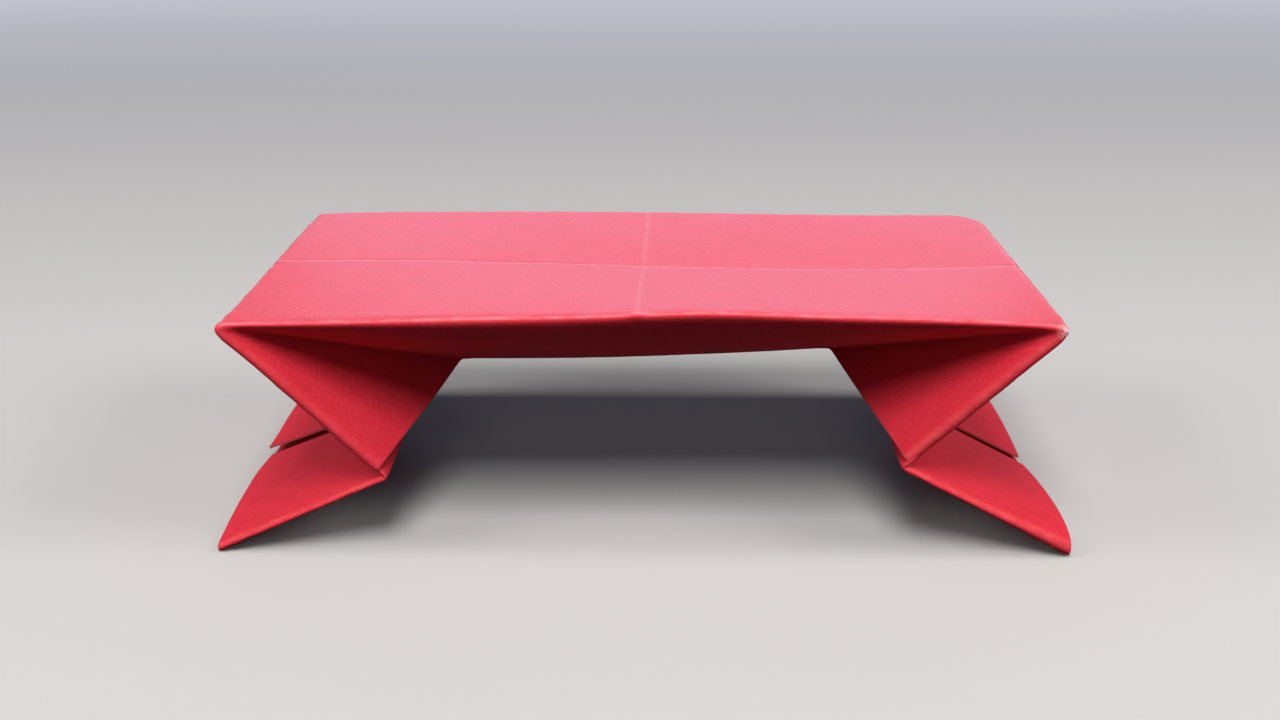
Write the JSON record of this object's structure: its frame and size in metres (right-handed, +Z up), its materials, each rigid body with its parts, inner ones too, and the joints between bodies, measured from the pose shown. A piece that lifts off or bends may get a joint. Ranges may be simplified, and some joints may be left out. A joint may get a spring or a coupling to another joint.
{
  "type": "paper craft table",
  "caption": "Low table folded from a single sheet of red craft paper: flat top with aprons turned under, legs that lean inward and feet that turn outward.",
  "frame": {"origin": "on the floor, below the middle of the top", "axes": "+X along the length of the top, +Y towards its back, +Z up"},
  "size_m": [0.109, 0.05, 0.0305],
  "materials": {
    "red_paper": "matte"
  },
  "bodies": {
    "root": {"folded_sheet": "red_paper"}
  },
  "joints": []
}
